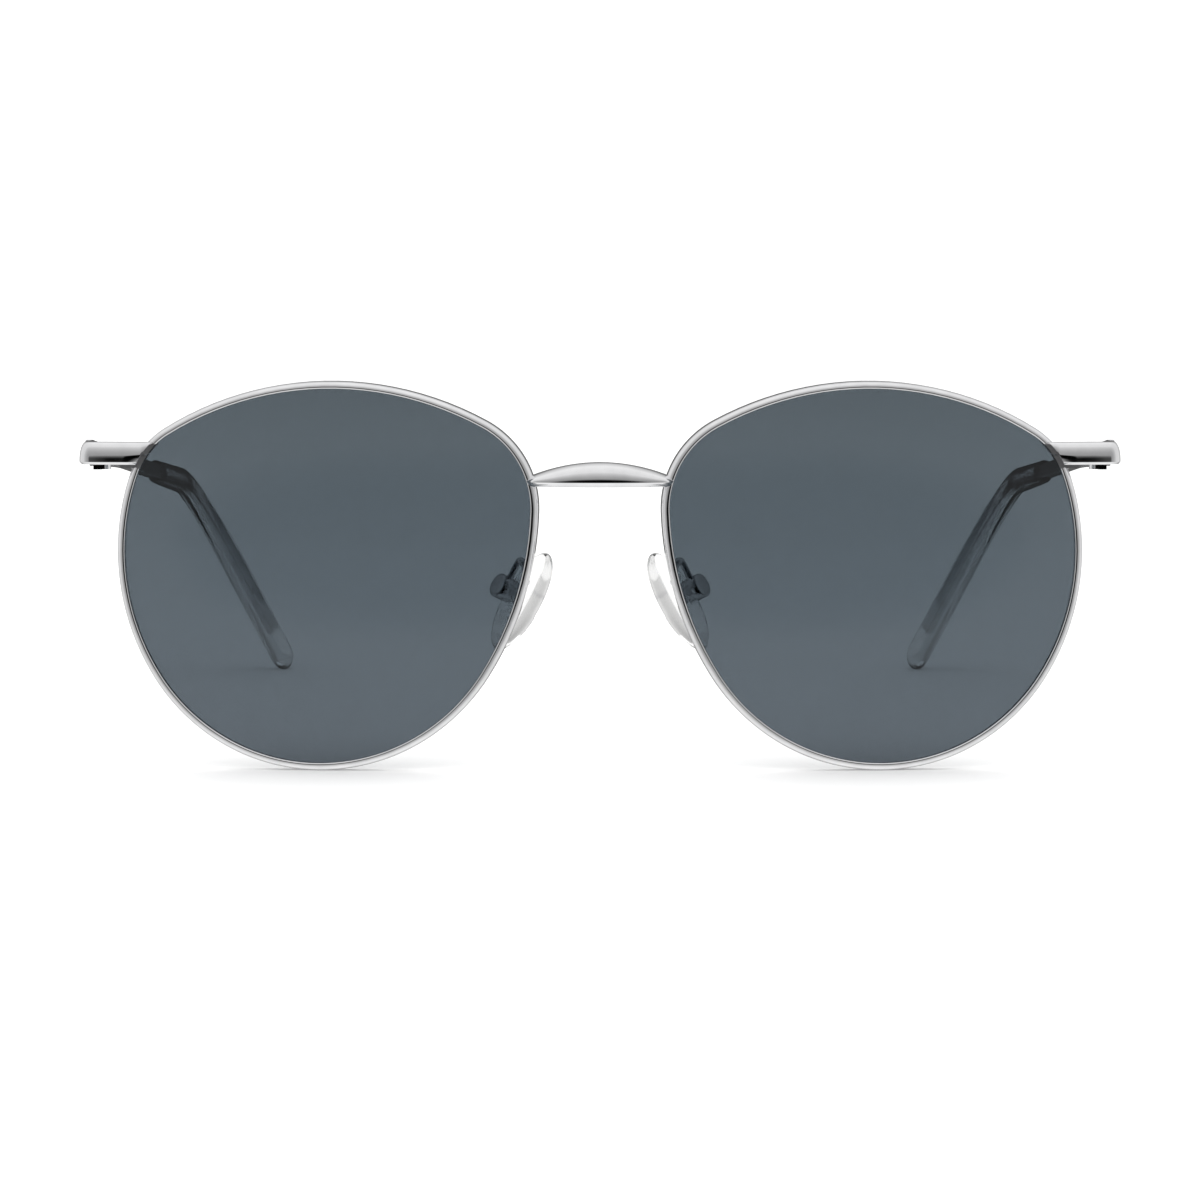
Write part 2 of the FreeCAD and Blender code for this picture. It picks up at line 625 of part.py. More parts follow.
def make_temple():
    """Metal bar thinning to a core wire, with a clear cover over its bent end."""
    height, wall = size("bar_height"), size("wall_thick")
    offset = TEMPLE_INSET - wall / 2
    straight = size("temple_straight")
    wire_wide, wire_high = size("wire_wide"), size("wire_high")
    core_wide, core_high, inset = size("core_wide"), size("core_high"), size("core_inset")
    wire_end = size("tip_cover_start") - CORE_STEP
    front = Part.makeLoft([rounded_bar(-TEMPLE_INSET, wall, height, FLAT_CORNER, offset),
                           rounded_bar(FLAT_END, wall, height, FLAT_CORNER, offset),
                           rounded_bar(WIRE_START, wire_wide, wire_high, WIRE_CORNER),
                           rounded_bar(wire_end, wire_wide, wire_high, WIRE_CORNER)], True, True)
    narrowed = wire_end + 1.5 * CORE_STEP
    places = [narrowed] + bend_stations(straight, size("core_end"), CORE_STEP)
    sections = [oval(wire_end, wire_wide, wire_high)]
    sections += [oval(s, core_wide, core_high, -inset) for s in places]
    core = Part.makeLoft(sections, True, False)
    metal = hold("temple_metal", front.fuse(core))
    start = back("joint_back") + size("joint_gap")
    corner = Vector(60, start - REACH, size("bar_low") - REACH)
    square_end = box("temple_end", corner, Vector(80, start, corner.z + 3 * REACH))
    arm = finish_pair(cut("temple_arm", metal, square_end), "temple_arm")
    cover_start, end = size("tip_cover_start"), size("temple_length")
    rounding = end - COVER_ROUNDING
    grown = [(s, cover_width(s), cover_height(s))
             for s in bend_stations(cover_start + 1.5, rounding, CORE_STEP)]
    nose = [(cover_start, 2.1, 2.9), (cover_start + 0.5, 2.4, 3.25)]
    tail = [(rounding + COVER_ROUNDING * math.sin(math.radians(angle)),
             cover_width(end) * math.cos(math.radians(angle)),
             cover_height(end) * math.cos(math.radians(angle))) for angle in (25, 50, 70, 82)]
    cover = Part.makeLoft([oval(s, w, h) for s, w, h in nose + grown + tail], True, False)
    finish_pair(cut("temple_tip", hold("tip_cover_blank", cover), arm), "temple_tip")


def cover_growth(s):
    """Share of the cover's growth reached at a station: all of it before the rounded end."""
    share = (s - size("tip_cover_start")) / (size("temple_length") - size("tip_cover_start"))
    return min(1.0, share * 1.3)


def cover_width(s):
    """Sideways size of the tip cover."""
    return size("cover_wide") + size("cover_wider") * cover_growth(s)


def cover_height(s):
    """Upright size of the tip cover."""
    return size("cover_high") + size("cover_higher") * cover_growth(s)


# ---------------------------------------------------------------- nose pads

def pad_frame(x=0.0, y=0.0, z=0.0):
    """Placement at the pad box: X up the pad, Y across it to the rear, Z to the nose."""
    tilt, splay = math.radians(size("pad_tilt")), math.radians(size("pad_splay"))
    up = Vector(-math.sin(tilt), 0, math.cos(tilt))
    outward = Vector(math.cos(tilt), 0, math.sin(tilt))
    across = Vector(0, 1, 0) * math.cos(splay) + outward * math.sin(splay)
    nose = up.cross(across)
    base = Vector(size("pad_box_x"), back("pad_box_back"), size("pad_box_z"))
    return Placement(base + up * x + across * y + nose * z, Rotation(up, across, nose, "ZXY"))


def pad_cylinder(name, radius, height, low, x=0.0):
    """A cylinder along the pad's Z axis; radius and height are expressions."""
    frame = pad_frame(x, 0, low)
    return cylinder(name, radius, height, frame.Base, frame.Rotation)


def make_nose_pad():
    """Cup, rocking metal insert, screw and clear pad."""
    cup = cut("pad_cup", solid_cup("pad_cup_outside"),
              pad_cylinder("pad_cup_inside", "dims.pad_box_bore", "dims.pad_cup_height", CUP_FLOOR))
    radius = size("pad_box_radius")
    across = Rotation(pad_frame().Rotation.multVec(Vector(1, 0, 0)), -90)
    turned = across.multiply(pad_frame().Rotation)
    screw = make_screw("pad_screw", "dims.pad_screw_radius", 2 * radius + 0.35,
                       pad_frame(0, -radius, 0).Base, turned, head=1.55, head_height=0.5)
    finish_pair(cut("pad_box", cup, screw), "pad_box")
    finish_pair(screw, "pad_screw")
    width, plate_thick = size("insert_width"), size("insert_plate_thick")
    eye = cylinder("insert_eye", "dims.insert_eye_radius", "dims.insert_width",
                   pad_frame(0, -width / 2, 0).Base, turned)
    neck = place(doc.addObject("Part::Box", "insert_neck"), pad_frame(-0.5, -width / 2, 0).Base,
                 pad_frame().Rotation)
    neck.Length, neck.Width, neck.Height = 1.0, width, size("pad_back") + plate_thick
    plate = pad_cylinder("insert_plate", "dims.insert_plate_radius", "dims.insert_plate_thick",
                         size("pad_back") + 0.25)
    bore = cylinder("insert_bore", "dims.pad_screw_radius + dims.pad_running_gap",
                    "2 * dims.pad_cup_height", pad_frame(0, -size("pad_cup_height"), 0).Base, turned)
    insert = finish_pair(cut("pad_insert", fuse("insert_body", eye, neck, plate), bore), "pad_insert")
    ellipsoid = bind(doc.addObject("Part::Ellipsoid", "pad_form"), Radius1="dims.pad_dome",
                     Radius2="dims.pad_long", Radius3="dims.pad_wide")
    frame = pad_frame(-size("pad_drop"), 0, size("pad_centre"))
    place(ellipsoid, frame.Base, frame.Rotation)
    behind = pad_cylinder("pad_behind", "2 * dims.pad_long", "dims.pad_long",
                          size("pad_back") - size("pad_long"))
    finish_pair(cut("nose_pad", cut("pad_flat", ellipsoid, behind), insert), "nose_pad")


def make_pad_arm(wire):
    """Wire brazed behind the eyewire, curled up and back to the side of the pad box."""
    base = Vector(0, size("front_y"), 0)
    end = pad_frame(size("pad_box_radius") - 0.4, 0, -0.3)
    up, back_of_box = pad_frame().Rotation.multVec(Vector(1, 0, 0)), Vector(0, 1, 0)
    points = [base + Vector(*point) for point in PAD_ARM_POINTS] + [end.Base + up * 1.2, end.Base]
    curve = Part.BSplineCurve()
    curve.interpolate(points, InitialTangent=back_of_box, FinalTangent=up * -1)
    section = Part.Wire(Part.Circle(points[0], back_of_box, size("pad_arm_radius")).toShape())
    tube = Part.Wire(curve.toShape()).makePipeShell([section], True, True)
    arm = cut("pad_arm_off_cup", hold("pad_arm_wire", tube), solid_cup("pad_cup_envelope"))
    finish_pair(cut("pad_arm", arm, wire), "pad_arm")


def solid_cup(name):
    """The cup's outside, without its bore."""
    return pad_cylinder(name, "dims.pad_box_radius", "dims.pad_cup_height", CUP_FLOOR - CUP_FLOOR_THICK)


# ---------------------------------------------------------------- bridge

def make_extruded(name, curves, placement, direction, length):
    """A closed sketch of curves held where they are, and the solid extruded from it."""
    sketch = doc.addObject("Sketcher::SketchObject", name + "_sketch")
    for curve in curves:
        sketch.addGeometry(curve, False)
    for i in range(len(curves)):
        sketch.addConstraint(Sketcher.Constraint("Block", i))
    sketch.Placement = placement
    solid = doc.addObject("Part::Extrusion", name)
    solid.Base = sketch
    solid.DirMode = "Custom"
    solid.Dir = direction
    solid.Solid = True
    solid.LengthFwd = length
    return solid


def bridge_face():
    """Outline of the bridge from the front: arched top, nearly straight underside, round ends."""
    half, low = size("bridge_half"), size("bridge_low")
    high, end_high = size("bridge_high"), size("bridge_end_high")
    inner = half - BRIDGE_END_ROUNDING
    middle = (end_high + low) / 2
    corners = [Vector(inner, end_high, 0), Vector(-inner, end_high, 0), Vector(-inner, low, 0),
               Vector(inner, low, 0)]
    tops = [Vector(0, high, 0), Vector(-half, middle, 0), Vector(0, low + 0.1, 0), Vector(half, middle, 0)]
    return [Part.Arc(corners[i], tops[i], corners[(i + 1) % 4]) for i in range(4)]


def bridge_section(x):
    """Upright section of the bridge: flat back, bevel below and a quarter ellipse over the front."""
    half, low, thick = size("bridge_half"), size("bridge_low"), size("bridge_thick")
    share = (x / half) ** 2
    front = back("bridge_end_back") - size("bridge_bow") * (1 - share)
    high = size("bridge_high") - (size("bridge_high") - size("bridge_end_high")) * share
    ridge = low + size("bridge_ridge")
    foot = Vector(x, front + thick, low)
    toe = Vector(x, front + BRIDGE_BEVEL, low)
    lip = Vector(x, front, ridge)
    crest = Vector(x, front + thick, high + BRIDGE_SPARE)
    centre = Vector(x, front + thick, ridge)
    dome = [centre + Vector(0, -thick * math.cos(a), (crest.z - ridge) * math.sin(a))
            for a in (math.radians(15 * step) for step in range(7))]
    curve = Part.BSplineCurve()
    curve.interpolate(dome, InitialTangent=Vector(0, 0, 1), FinalTangent=Vector(0, 1, 0))
    edges = [Part.makeLine(foot, toe), Part.makeLine(toe, lip), curve.toShape(), Part.makeLine(crest, foot)]
    return Part.Wire(edges)


def make_bridge(neighbours):
    """Bowed bar over the inner edges of the two eyewires, rounded above and bevelled below."""
    upright = Placement(Vector(0, size("front_y") + REACH, 0), Rotation(Vector(1, 0, 0), 90))
    face = make_extruded("bridge_front", bridge_face(), upright, Vector(0, -1, 0), 2 * REACH)
    half = size("bridge_half") + 1
    steps = 8
    sections = [bridge_section(half * (2 * i / steps - 1)) for i in range(steps + 1)]
    coped = common("bridge_blank", face, hold("bridge_bow_form", Part.makeLoft(sections, True, False)))
    for number, neighbour in enumerate(neighbours):
        coped = cut(f"bridge_coped_{number}", coped, neighbour)
    return finish_single(coped, "bridge")


# ---------------------------------------------------------------- build and write

def build():
    """Makes every part."""
    make_outline()
    bent_bar = make_end_piece()
    doc.recompute()
    end_piece = dress_bar(bent_bar)
    eyewire, lens = make_lens_front(end_piece)
    beside_bridge = [eyewire, mirror(eyewire, "eyewire_right"), lens, mirror(lens, "lens_beside_bridge")]
    make_hinge()
    make_temple()
    make_nose_pad()
    make_pad_arm(eyewire)
    make_bridge(beside_bridge)
    doc.recompute()


def write():
    """Checks every part, then writes each one to its own file."""
    os.makedirs("parts", exist_ok=True)
    for thing in doc.Objects:
        if "Invalid" in thing.State or "Error" in thing.State:
            raise RuntimeError(f"{thing.Name} did not compute")
    for thing in finished:
        shape = thing.Shape
        if shape.isNull() or not shape.isValid() or not shape.Solids:
            raise RuntimeError(f"{thing.Label} is not a valid solid")
        shape.exportStep(f"parts/{thing.Label}.step")


build()
write()
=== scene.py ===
"""Round metal sunglasses: the looks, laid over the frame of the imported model."""

import math

import bmesh
import bpy
from mathutils import Matrix, Vector


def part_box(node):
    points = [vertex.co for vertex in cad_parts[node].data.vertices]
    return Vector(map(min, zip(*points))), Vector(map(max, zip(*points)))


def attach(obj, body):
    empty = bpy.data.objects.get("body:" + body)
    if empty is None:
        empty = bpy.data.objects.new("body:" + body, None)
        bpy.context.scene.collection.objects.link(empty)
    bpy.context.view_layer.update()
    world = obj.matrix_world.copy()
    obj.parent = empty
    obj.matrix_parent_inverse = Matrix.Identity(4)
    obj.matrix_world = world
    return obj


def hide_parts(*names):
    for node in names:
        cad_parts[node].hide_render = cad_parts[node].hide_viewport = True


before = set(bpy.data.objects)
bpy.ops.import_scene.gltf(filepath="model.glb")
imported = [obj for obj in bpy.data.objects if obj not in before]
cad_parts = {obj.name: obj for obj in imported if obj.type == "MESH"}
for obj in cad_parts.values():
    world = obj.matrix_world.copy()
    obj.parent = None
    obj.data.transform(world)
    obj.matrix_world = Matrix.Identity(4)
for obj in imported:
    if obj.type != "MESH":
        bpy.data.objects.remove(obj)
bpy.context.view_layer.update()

MM = 0.001
FRONT = -71.27  # y of the front's foremost plane, in millimetres as all sizes here
SEAM = 0.002  # points nearer each other than this become one
AT_EDGE = 0.49  # share of a bar's width or height from its middle beyond which only its edge lies

# The eyewire's outline, anticlockwise from its lowest point: radius and sweep of each arc
OUTLINE = [(25.3, 57.7), (31.1, 52.3), (10.4, 38.4), (41.8004, 60.2), (13.0, 63.0), (42.3707, 30.7),
           (26.2, 57.7)]
LOWEST = Vector((1.5, 0, -25.5))
LENS_CENTRE = Vector((35.3, FRONT + 0.5, 25.5))
FACE_FORM = 4.0  # degrees each lens turns back at the temple
BASE_CURVE = 132.0
LENS_THICK = 1.8
LENS_EDGE = 0.58  # lens edge inside the eyewire's outer edge
LENS_BEVEL, LENS_RINGS = 0.4, 12
RIM_WIDTH, RIM_DEPTH, RIM_PROUD = 1.03, 2.4, 0.3
OUTER_SIDE = 50  # x beyond which lies only the eyewire's outer side
PLUG_AHEAD, PLUG_DEPTH = 8, 24  # reach of the trimming block before the lens, and its whole depth


# ---------------------------------------------------------------- bench tools

def clear_bench():
    """Leaves edit mode with nothing selected."""
    if bpy.context.object and bpy.context.object.mode != "OBJECT":
        bpy.ops.object.mode_set(mode="OBJECT")
    bpy.ops.object.select_all(action="DESELECT")


def work_on(piece):
    """Opens a piece's mesh for editing, all of it selected."""
    clear_bench()
    piece.select_set(True)
    bpy.context.view_layer.objects.active = piece
    bpy.ops.object.mode_set(mode="EDIT")
    bpy.ops.mesh.select_mode(type="VERT")
    bpy.ops.mesh.select_all(action="SELECT")


def pick(test, kind="VERT"):
    """Selects the open mesh's points, or its faces by their middles, that pass a test in millimetres."""
    bpy.ops.mesh.select_mode(type=kind)
    bpy.ops.mesh.select_all(action="DESELECT")
    mesh = bmesh.from_edit_mesh(bpy.context.object.data)
    if kind == "VERT":
        chosen = [vertex for vertex in mesh.verts if test(vertex.co / MM)]
    else:
        chosen = [face for face in mesh.faces if test(face.calc_center_median() / MM)]
    for part in chosen:
        part.select_set(True)
    mesh.select_flush_mode()
    bmesh.update_edit_mesh(bpy.context.object.data)


def name_new(name):
    """Names the piece just made, and its mesh."""
    piece = bpy.context.object
    piece.name = name
    piece.data.name = name
    return piece


def set_down(piece, place=(0, 0, 0), turn=(0, 0, 0), matrix=None):
    """Moves a piece to its place and takes the place into its mesh."""
    clear_bench()
    piece.select_set(True)
    bpy.context.view_layer.objects.active = piece
    if matrix is None:
        piece.location = Vector(place) * MM
        piece.rotation_euler = [math.radians(angle) for angle in turn]
    else:
        piece.matrix_world = matrix
    bpy.ops.object.transform_apply(location=True, rotation=True, scale=True)


def bar_section(name, width, height, roundings, place, turn, dome=None):
    """A flat outline ready to be drawn out: width across and height up, before it is turned.

    roundings are (side, up, radius, segments) for its corners. dome is the (side, width, height) of an
    elliptical upper corner."""
    clear_bench()
    stretch = dome[2] / dome[1] if dome else 1.0
    bpy.ops.mesh.primitive_plane_add(size=MM)
    piece = name_new(name)
    bpy.ops.object.mode_set(mode="EDIT")
    bpy.ops.transform.resize(value=(width, height / stretch, 1))
    if dome:
        pick(lambda at: at.x * dome[0] > width * AT_EDGE and at.y > height / stretch * AT_EDGE)
        bpy.ops.mesh.bevel(offset=dome[1] * MM, segments=14, affect="VERTICES")
        bpy.ops.mesh.select_all(action="SELECT")
        bpy.ops.transform.resize(value=(1, stretch, 1), center_override=(0, 0, 0))
    for side, up, radius, segments in roundings:
        pick(lambda at: at.x * side > width * AT_EDGE and at.y * up > height * AT_EDGE)
        bpy.ops.mesh.bevel(offset=radius * MM, segments=segments, affect="VERTICES")
    bpy.ops.mesh.select_all(action="SELECT")
    bpy.ops.mesh.delete(type="ONLY_FACE")
    set_down(piece, place, turn)
    work_on(piece)
    return piece


def round_section(name, width, height, place, turn, vertices=36):
    """A flat oval outline ready to be drawn out."""
    clear_bench()
    bpy.ops.mesh.primitive_circle_add(vertices=vertices, radius=MM / 2)
    piece = name_new(name)
    bpy.ops.object.mode_set(mode="EDIT")
    bpy.ops.transform.resize(value=(width, height, 1), center_override=(0, 0, 0))
    set_down(piece, place, turn)
    work_on(piece)
    return piece


def draw_out(*way):
    """Extends the open end in a straight line."""
    bpy.ops.mesh.extrude_region_move(TRANSFORM_OT_translate={"value": Vector(way) * MM})


def swing(centre, axis, degrees, step=3.0):
    """Extends the open end round an axis, by the right-hand rule."""
    steps = max(1, round(abs(degrees) / step))
    centre = Vector(centre) * MM
    bpy.ops.mesh.spin(steps=steps, angle=math.radians(degrees), center=centre, axis=-Vector(axis))


def resize_end(factors, centre):
    """Widens or narrows what is selected about a point."""
    bpy.ops.transform.resize(value=factors, center_override=Vector(centre) * MM)


def join_seam():
    """Makes one point of those that meet, all over the open mesh."""
    bpy.ops.mesh.select_all(action="SELECT")
    bpy.ops.mesh.remove_doubles(threshold=SEAM * MM)


def close_up(piece, soften=0.05, segments=2, limit=30):
    """Fills open ends, merges seams, points faces outwards and softens sharp edges."""
    work_on(piece)
    join_seam()
    bpy.ops.mesh.select_non_manifold(extend=False, use_wire=False, use_boundary=True,
                                     use_multi_face=False, use_non_contiguous=False, use_verts=False)
    bpy.ops.mesh.fill_holes(sides=0)
    bpy.ops.mesh.select_all(action="SELECT")
    bpy.ops.mesh.normals_make_consistent(inside=False)
    clear_bench()
    piece.select_set(True)
    bpy.context.view_layer.objects.active = piece
    if soften:
        bevel = piece.modifiers.new("soft_edges", "BEVEL")
        bevel.width = soften * MM
        bevel.segments = segments
        bevel.limit_method = "ANGLE"
        bevel.angle_limit = math.radians(limit)
        bevel.use_clamp_overlap = True
        bpy.ops.object.modifier_apply(modifier=bevel.name)
    bpy.ops.object.shade_smooth_by_angle(angle=math.radians(limit))
    return piece


def trim(piece, cutter):
    """Cuts away what lies inside the cutter, and clears the cutter off the bench."""
    clear_bench()
    piece.select_set(True)
    bpy.context.view_layer.objects.active = piece
    modifier = piece.modifiers.new("trim", "BOOLEAN")
    modifier.operation = "DIFFERENCE"
    modifier.solver = "EXACT"
    modifier.object = cutter
    bpy.ops.object.modifier_apply(modifier=modifier.name)
    bpy.data.objects.remove(cutter)


def mirror_twin(piece, name):
    """The other side's copy, with its own mesh."""
    clear_bench()
    piece.select_set(True)
    bpy.context.view_layer.objects.active = piece
    bpy.ops.object.duplicate()
    twin = name_new(name)
    work_on(twin)
    bpy.ops.transform.resize(value=(-1, 1, 1), center_override=(0, 0, 0))
    bpy.ops.mesh.flip_normals()
    clear_bench()
    return twin


# ---------------------------------------------------------------- eyewires and lenses

def go_round_lens(step=3.0):
    """Swings the open end round the seven arcs of the outline."""
    point, heading = LOWEST, 0.0
    for radius, sweep in OUTLINE:
        centre = point + Vector((-math.sin(heading), 0, math.cos(heading))) * radius
        swing(centre, (0, -1, 0), sweep, step)
        heading += math.radians(sweep)
        point = centre - Vector((-math.sin(heading), 0, math.cos(heading))) * radius


def dish(piece):
    """Bends a flat piece back to the lens's curve and sets it at the wearer's left eye."""
    clear_bench()
    for vertex in piece.data.vertices:
        reach = math.hypot(vertex.co.x, vertex.co.z) / MM
        vertex.co.y += (BASE_CURVE - math.sqrt(BASE_CURVE ** 2 - reach ** 2)) * MM
    set_down(piece, LENS_CENTRE, (0, 0, FACE_FORM))


def outline_point(name, inset):
    """A single point on the outline's lowest spot, ready to be swung round it."""
    clear_bench()
    bpy.ops.mesh.primitive_plane_add(size=MM)
    piece = name_new(name)
    bpy.ops.object.mode_set(mode="EDIT")
    bpy.ops.mesh.merge(type="CENTER")
    set_down(piece, LOWEST + Vector((0, 0, inset)))
    work_on(piece)
    return piece


def make_eyewire():
    """Rounded wire, crowned in front, swung round the lens and open where the closing block sits."""
    middle = LOWEST + Vector((0, RIM_DEPTH / 2 - RIM_PROUD, RIM_WIDTH / 2))
    roundings = [(-1, -1, 0.66, 10), (-1, 1, 0.3, 6), (1, -1, 0.3, 4), (1, 1, 0.25, 4)]
    rim = bar_section("eyewire_left", RIM_DEPTH, RIM_WIDTH, roundings, middle, (90, 0, 90))
    go_round_lens(2.5)
    join_seam()
    dish(rim)
    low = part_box("closing_block_lower_left")[0][2]
    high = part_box("closing_block_upper_left")[1][2]
    work_on(rim)
    for height in (low, high):
        pick(lambda at: at.x > OUTER_SIDE)
        bpy.ops.mesh.bisect(plane_co=(0, 0, height), plane_no=(0, 0, 1))
    pick(lambda at: at.x > OUTER_SIDE and low / MM < at.z < high / MM, "FACE")
    bpy.ops.mesh.delete(type="FACE")
    return close_up(rim, soften=0.0)


def make_lens():
    """Dished lens with a bevelled edge that sits in the eyewire's groove."""
    lens = outline_point("lens_blank_left", LENS_EDGE)
    go_round_lens(3.0)
    join_seam()
    for ring in range(LENS_RINGS, 1, -1):
        draw_out(0, 0, 0)
        share = (ring - 1) / ring
        resize_end((share, 1, share), (0, 0, 0))
    bpy.ops.mesh.edge_face_add()
    bpy.ops.mesh.poke()
    bpy.ops.mesh.select_all(action="SELECT")
    draw_out(0, LENS_THICK, 0)
    dish(lens)
    return close_up(lens, soften=LENS_BEVEL, segments=1, limit=25)


def outline_plug(name, inset):
    """A block that fills the outline from front to back, to trim other pieces with."""
    plug = outline_point(name, inset)
    go_round_lens(2.0)
    join_seam()
    bpy.ops.mesh.edge_face_add()
    bpy.ops.transform.translate(value=(0, -PLUG_AHEAD * MM, 0))
    draw_out(0, PLUG_DEPTH, 0)
    bpy.ops.mesh.select_all(action="SELECT")
    bpy.ops.mesh.normals_make_consistent(inside=False)
    set_down(plug, LENS_CENTRE, (0, 0, FACE_FORM))
    return plug


# ---------------------------------------------------------------- bridge

BRIDGE_HALF, BRIDGE_LOW, BRIDGE_RIDGE = 9.45, 36.96, 0.65
BRIDGE_HIGH, BRIDGE_END_HIGH, BRIDGE_BOW, BRIDGE_THICK = 40.18, 38.16, 1.9, 2.0
BRIDGE_BACK = 0.7  # how far its ends stand behind the front plane
BRIDGE_CHAMFER, BRIDGE_STEPS = 0.6, 40
BRIDGE_ROUNDING, BRIDGE_TIP = 1.0, 0.3  # length over which an end draws in, and the share left at its tip
BRIDGE_ROOT_BACK, BRIDGE_ROOT_UP = 1.9, 0.05  # what it draws in to, behind the front and above the ridge


def make_bridge():
    """Bowed bar: a dome over a sharp ridge, bevelled underneath, drawn in at its ends."""
    height = BRIDGE_HIGH - BRIDGE_LOW
    start = (-BRIDGE_HALF, FRONT + BRIDGE_BACK + BRIDGE_THICK / 2, BRIDGE_LOW + height / 2)
    dome = (-1, BRIDGE_THICK - 0.02, height - BRIDGE_RIDGE)
    chamfer = [(-1, -1, BRIDGE_CHAMFER, 1)]
    bridge = bar_section("bridge_bar", BRIDGE_THICK, height, chamfer, start, (90, 0, 90), dome)
    for _ in range(BRIDGE_STEPS):
        draw_out(2 * BRIDGE_HALF / BRIDGE_STEPS, 0, 0)
    ridge = BRIDGE_LOW + BRIDGE_RIDGE
    for step in range(BRIDGE_STEPS + 1):
        x = -BRIDGE_HALF + 2 * BRIDGE_HALF * step / BRIDGE_STEPS
        share = (x / BRIDGE_HALF) ** 2
        top = BRIDGE_HIGH - (BRIDGE_HIGH - BRIDGE_END_HIGH) * share
        pick(lambda at: abs(at.x - x) < 0.05 and at.z > ridge + 0.001)
        resize_end((1, 1, (top - ridge) / (BRIDGE_HIGH - ridge)), (0, 0, ridge))
        pick(lambda at: abs(at.x - x) < 0.05)
        bpy.ops.transform.translate(value=(0, -BRIDGE_BOW * (1 - share) * MM, 0))
        from_tip = (BRIDGE_HALF - abs(x)) / BRIDGE_ROUNDING
        if from_tip < 1:
            shrink = max(BRIDGE_TIP, math.sqrt(1 - (1 - from_tip) ** 2))
            resize_end((1, shrink, shrink), (x, FRONT + BRIDGE_ROOT_BACK, ridge + BRIDGE_ROOT_UP))
    return close_up(bridge, soften=0.06, segments=2, limit=28)


# ---------------------------------------------------------------- end pieces

BAR_LOW, BAR_HEIGHT, BAR_THICK, BAR_SLOPE = 39.65, 2.95, 1.25, 8.0
BAR_FACE = Vector((60, FRONT + 4.25, 0))  # a spot on the sloping outer face
BAR_LENGTH, BAR_DOME = 9.0, (-1, 0.95, 2.35)
BAR_CHAMFER, BAR_ROUNDING = 0.33, 0.12
BAR_LAP = 0.45  # how far it reaches in over the eyewire
WALL_OUTER, CORNER, JOINT = 67.7, 1.7, FRONT + 12.2


def make_end_piece():
    """One bar bent round the corner, domed outside, trimmed along the eyewire at its inner end."""
    slope = math.radians(BAR_SLOPE)
    inward = Vector((-math.sin(slope), math.cos(slope), 0))
    along = Vector((math.cos(slope), math.sin(slope), 0))
    centre_x = WALL_OUTER - CORNER
    corner_y = BAR_FACE.y + math.tan(slope) * (centre_x - BAR_FACE.x) + CORNER / math.cos(slope)
    tangent = Vector((centre_x, corner_y, 0)) - inward * CORNER
    middle = tangent - along * BAR_LENGTH + inward * BAR_THICK / 2 + Vector((0, 0, BAR_LOW + BAR_HEIGHT / 2))
    roundings = [(-1, -1, BAR_CHAMFER, 1), (1, 1, BAR_ROUNDING, 2), (1, -1, BAR_ROUNDING, 2)]
    turn = (90, 0, 90 + BAR_SLOPE)
    bar = bar_section("end_piece_bar_left", BAR_THICK, BAR_HEIGHT, roundings, middle, turn, BAR_DOME)
    for _ in range(4):
        draw_out(*(along * BAR_LENGTH / 4))
    swing((centre_x, corner_y, 0), (0, 0, 1), 90 - BAR_SLOPE, 6)
    for _ in range(3):
        draw_out(0, (JOINT - corner_y) / 3, 0)
    close_up(bar, soften=0.0)
    trim(bar, outline_plug("bar_trim", BAR_LAP))
    return close_up(bar, soften=0.05, segments=2, limit=28)


# ---------------------------------------------------------------- temples

TEMPLE_INSET, TEMPLE_START_Z, TEMPLE_DECLINE = 1.6, 41.11, 4.97
TEMPLE_STRAIGHT, BEND_RADIUS, BEND_ANGLE, BEND_LEAN = 101.6, 25.2, 67.1, 26.2
COVER_START, CORE_END, TEMPLE_LENGTH = 67.0, 143.0, 150.07
TEMPLE_SETBACK = 13  # the temple's middle line is measured from here, behind the front plane
FLAT_THICK, FLAT_ROUNDING = 1.2, 0.3
FLAT_LENGTH, FLAT_BEFORE, JOINT_GAP = 8.0, 0.77, 0.03  # flat bar behind that mark, and before it
THINNING, THINNING_STEPS, WIDENS, LOWERS = 22, 10, 0.4, 0.75
CORE_INSET, CORE_NARROWS, CORE_LOWERS = 0.45, 0.75, 0.82
COVER_WIDE, COVER_HIGH, COVER_TIP = 1.7, 2.3, 2.6
COVER_MOUTH = [(0.12, 1.23, 1.25), (0.25, 1.12, 1.12), (0.5, 1.07, 1.07)]  # way ahead, and growth over it
COVER_GROWTH, COVER_STEPS = (1.014, 1, 1.022), 8
BEND_GROWTH, BEND_STEPS = (1.0095, 1.0095, 1.0095), 18


def temple_directions():
    """The straight length's direction, the bend's turning direction, and the bend's axis."""
    decline, lean = math.radians(TEMPLE_DECLINE), math.radians(BEND_LEAN)
    along = Vector((0, math.cos(decline), -math.sin(decline)))
    down = Vector((0, -math.sin(decline), -math.cos(decline)))
    turn = down * math.cos(lean) - Vector((1, 0, 0)) * math.sin(lean)
    return along, turn, along.cross(turn)


def temple_point(s):
    """A point of the temple's middle line on its straight length."""
    start = Vector((WALL_OUTER - TEMPLE_INSET, FRONT + TEMPLE_SETBACK, TEMPLE_START_Z))
    return start + temple_directions()[0] * s


def bend_round(degrees, step):
    """Carries the open end round the bend behind the ear."""
    _, turn, axis = temple_directions()
    swing(temple_point(TEMPLE_STRAIGHT) + turn * BEND_RADIUS, axis, degrees, step)


def end_direction():
    """The way the temple runs after the bend."""
    along, turn, _ = temple_directions()
    return along * math.cos(math.radians(BEND_ANGLE)) + turn * math.sin(math.radians(BEND_ANGLE))


